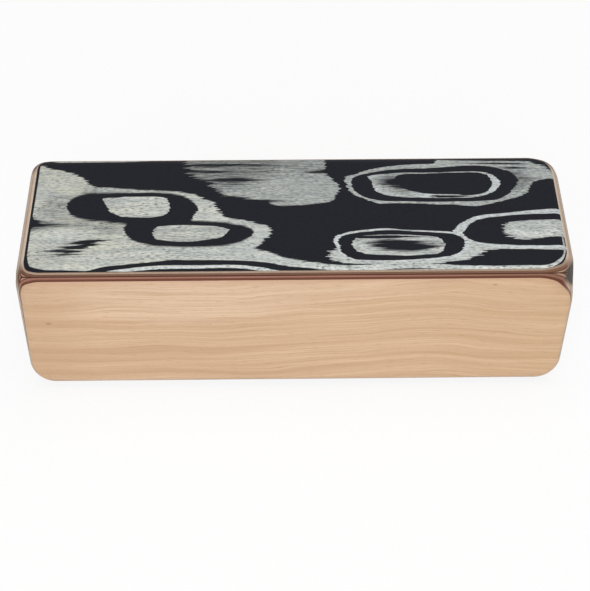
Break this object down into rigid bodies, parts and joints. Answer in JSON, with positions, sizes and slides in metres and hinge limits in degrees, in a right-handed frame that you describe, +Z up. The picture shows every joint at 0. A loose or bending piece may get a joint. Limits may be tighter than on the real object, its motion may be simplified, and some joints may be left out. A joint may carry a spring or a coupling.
{
  "type": "box shaker",
  "caption": "Hand-held box shaker: mitred plywood panels sanded round at the edges, black-and-white figured veneer on top, beech veneer on the front, loose beads sealed inside",
  "frame": {"origin": "middle of the underside, on the surface it rests on", "axes": "+Z up, +X along the length towards the right end, -Y towards the beech front"},
  "size_m": [0.16, 0.0508, 0.0495],
  "materials": {
    "figured_veneer": "engineered veneer with a black and grey-white eye figure, satin lacquer",
    "beech_veneer": "pale beech veneer, fine straight grain along the length, matt oil or lacquer",
    "pale_crossband": "sanded pale ply edge",
    "dark_crossband": "sanded dark brown ply edge",
    "brown_core": "sanded brown ply edge",
    "reddish_core": "sanded pinkish brown ply edge",
    "liner_veneer": "plain unfinished veneer",
    "bead_steel": "smooth steel shot"
  },
  "bodies": {
    "box": {"top_face_veneer": "figured_veneer", "top_outer_crossband": "pale_crossband", "top_core": "brown_core", "top_inner_crossband": "pale_crossband", "top_liner": "liner_veneer", "bottom_face_veneer": "figured_veneer", "bottom_outer_crossband": "pale_crossband", "bottom_core": "brown_core", "bottom_inner_crossband": "pale_crossband", "bottom_liner": "liner_veneer", "front_face_veneer": "beech_veneer", "front_outer_crossband": "dark_crossband", "front_core": "reddish_core", "front_inner_crossband": "dark_crossband", "front_liner": "liner_veneer", "back_face_veneer": "beech_veneer", "back_outer_crossband": "dark_crossband", "back_core": "reddish_core", "back_inner_crossband": "dark_crossband", "back_liner": "liner_veneer", "left_end_face_veneer": "figured_veneer", "left_end_outer_crossband": "pale_crossband", "left_end_core": "brown_core", "left_end_inner_crossband": "pale_crossband", "left_end_liner": "liner_veneer", "right_end_face_veneer": "figured_veneer", "right_end_outer_crossband": "pale_crossband", "right_end_core": "brown_core", "right_end_inner_crossband": "pale_crossband", "right_end_liner": "liner_veneer"},
    "bead_01": {"bead_01": "bead_steel"},
    "bead_02": {"bead_02": "bead_steel"},
    "bead_03": {"bead_03": "bead_steel"},
    "bead_04": {"bead_04": "bead_steel"},
    "bead_05": {"bead_05": "bead_steel"},
    "bead_06": {"bead_06": "bead_steel"},
    "bead_07": {"bead_07": "bead_steel"},
    "bead_08": {"bead_08": "bead_steel"},
    "bead_09": {"bead_09": "bead_steel"},
    "bead_10": {"bead_10": "bead_steel"},
    "bead_11": {"bead_11": "bead_steel"},
    "bead_12": {"bead_12": "bead_steel"},
    "bead_13": {"bead_13": "bead_steel"},
    "bead_14": {"bead_14": "bead_steel"},
    "bead_15": {"bead_15": "bead_steel"},
    "bead_16": {"bead_16": "bead_steel"},
    "bead_17": {"bead_17": "bead_steel"},
    "bead_18": {"bead_18": "bead_steel"},
    "bead_19": {"bead_19": "bead_steel"},
    "bead_20": {"bead_20": "bead_steel"},
    "bead_21": {"bead_21": "bead_steel"},
    "bead_22": {"bead_22": "bead_steel"},
    "bead_23": {"bead_23": "bead_steel"},
    "bead_24": {"bead_24": "bead_steel"},
    "bead_25": {"bead_25": "bead_steel"},
    "bead_26": {"bead_26": "bead_steel"},
    "bead_27": {"bead_27": "bead_steel"},
    "bead_28": {"bead_28": "bead_steel"},
    "bead_29": {"bead_29": "bead_steel"},
    "bead_30": {"bead_30": "bead_steel"}
  },
  "joints": [
    {"name": "bead_01_slide", "type": "slide", "parent": "box", "child": "bead_01", "axis": [0, 1, 0], "range_m": [0, 0.03909]},
    {"name": "bead_02_slide", "type": "slide", "parent": "box", "child": "bead_02", "axis": [0, 1, 0], "range_m": [-0.02416, 0.01493]},
    {"name": "bead_03_slide", "type": "slide", "parent": "box", "child": "bead_03", "axis": [0, 1, 0], "range_m": [-0.00923, 0.02986]},
    {"name": "bead_04_slide", "type": "slide", "parent": "box", "child": "bead_04", "axis": [0, 1, 0], "range_m": [-0.03339, 0.0057]},
    {"name": "bead_05_slide", "type": "slide", "parent": "box", "child": "bead_05", "axis": [0, 1, 0], "range_m": [-0.01846, 0.02063]},
    {"name": "bead_06_slide", "type": "slide", "parent": "box", "child": "bead_06", "axis": [0, 1, 0], "range_m": [-0.00352, 0.03557]},
    {"name": "bead_07_slide", "type": "slide", "parent": "box", "child": "bead_07", "axis": [0, 1, 0], "range_m": [-0.02769, 0.0114]},
    {"name": "bead_08_slide", "type": "slide", "parent": "box", "child": "bead_08", "axis": [0, 1, 0], "range_m": [-0.01275, 0.02634]},
    {"name": "bead_09_slide", "type": "slide", "parent": "box", "child": "bead_09", "axis": [0, 1, 0], "range_m": [-0.03692, 0.00217]},
    {"name": "bead_10_slide", "type": "slide", "parent": "box", "child": "bead_10", "axis": [0, 1, 0], "range_m": [-0.02198, 0.01711]},
    {"name": "bead_11_slide", "type": "slide", "parent": "box", "child": "bead_11", "axis": [0, 1, 0], "range_m": [-0.00705, 0.03204]},
    {"name": "bead_12_slide", "type": "slide", "parent": "box", "child": "bead_12", "axis": [0, 1, 0], "range_m": [-0.03121, 0.00788]},
    {"name": "bead_13_slide", "type": "slide", "parent": "box", "child": "bead_13", "axis": [0, 1, 0], "range_m": [-0.01628, 0.02281]},
    {"name": "bead_14_slide", "type": "slide", "parent": "box", "child": "bead_14", "axis": [0, 1, 0], "range_m": [-0.00134, 0.03775]},
    {"name": "bead_15_slide", "type": "slide", "parent": "box", "child": "bead_15", "axis": [0, 1, 0], "range_m": [-0.02551, 0.01358]},
    {"name": "bead_16_slide", "type": "slide", "parent": "box", "child": "bead_16", "axis": [0, 1, 0], "range_m": [-0.01057, 0.02852]},
    {"name": "bead_17_slide", "type": "slide", "parent": "box", "child": "bead_17", "axis": [0, 1, 0], "range_m": [-0.03474, 0.00435]},
    {"name": "bead_18_slide", "type": "slide", "parent": "box", "child": "bead_18", "axis": [0, 1, 0], "range_m": [-0.0198, 0.01929]},
    {"name": "bead_19_slide", "type": "slide", "parent": "box", "child": "bead_19", "axis": [0, 1, 0], "range_m": [-0.00487, 0.03422]},
    {"name": "bead_20_slide", "type": "slide", "parent": "box", "child": "bead_20", "axis": [0, 1, 0], "range_m": [-0.02903, 0.01006]},
    {"name": "bead_21_slide", "type": "slide", "parent": "box", "child": "bead_21", "axis": [0, 1, 0], "range_m": [-0.0141, 0.02499]},
    {"name": "bead_22_slide", "type": "slide", "parent": "box", "child": "bead_22", "axis": [0, 1, 0], "range_m": [-0.03826, 0.00083]},
    {"name": "bead_23_slide", "type": "slide", "parent": "box", "child": "bead_23", "axis": [0, 1, 0], "range_m": [-0.02333, 0.01576]},
    {"name": "bead_24_slide", "type": "slide", "parent": "box", "child": "bead_24", "axis": [0, 1, 0], "range_m": [-0.00839, 0.0307]},
    {"name": "bead_25_slide", "type": "slide", "parent": "box", "child": "bead_25", "axis": [0, 1, 0], "range_m": [-0.03256, 0.00653]},
    {"name": "bead_26_slide", "type": "slide", "parent": "box", "child": "bead_26", "axis": [0, 1, 0], "range_m": [-0.01762, 0.02147]},
    {"name": "bead_27_slide", "type": "slide", "parent": "box", "child": "bead_27", "axis": [0, 1, 0], "range_m": [-0.00269, 0.0364]},
    {"name": "bead_28_slide", "type": "slide", "parent": "box", "child": "bead_28", "axis": [0, 1, 0], "range_m": [-0.02685, 0.01224]},
    {"name": "bead_29_slide", "type": "slide", "parent": "box", "child": "bead_29", "axis": [0, 1, 0], "range_m": [-0.01192, 0.02717]},
    {"name": "bead_30_slide", "type": "slide", "parent": "box", "child": "bead_30", "axis": [0, 1, 0], "range_m": [-0.03608, 0.00301]}
  ]
}
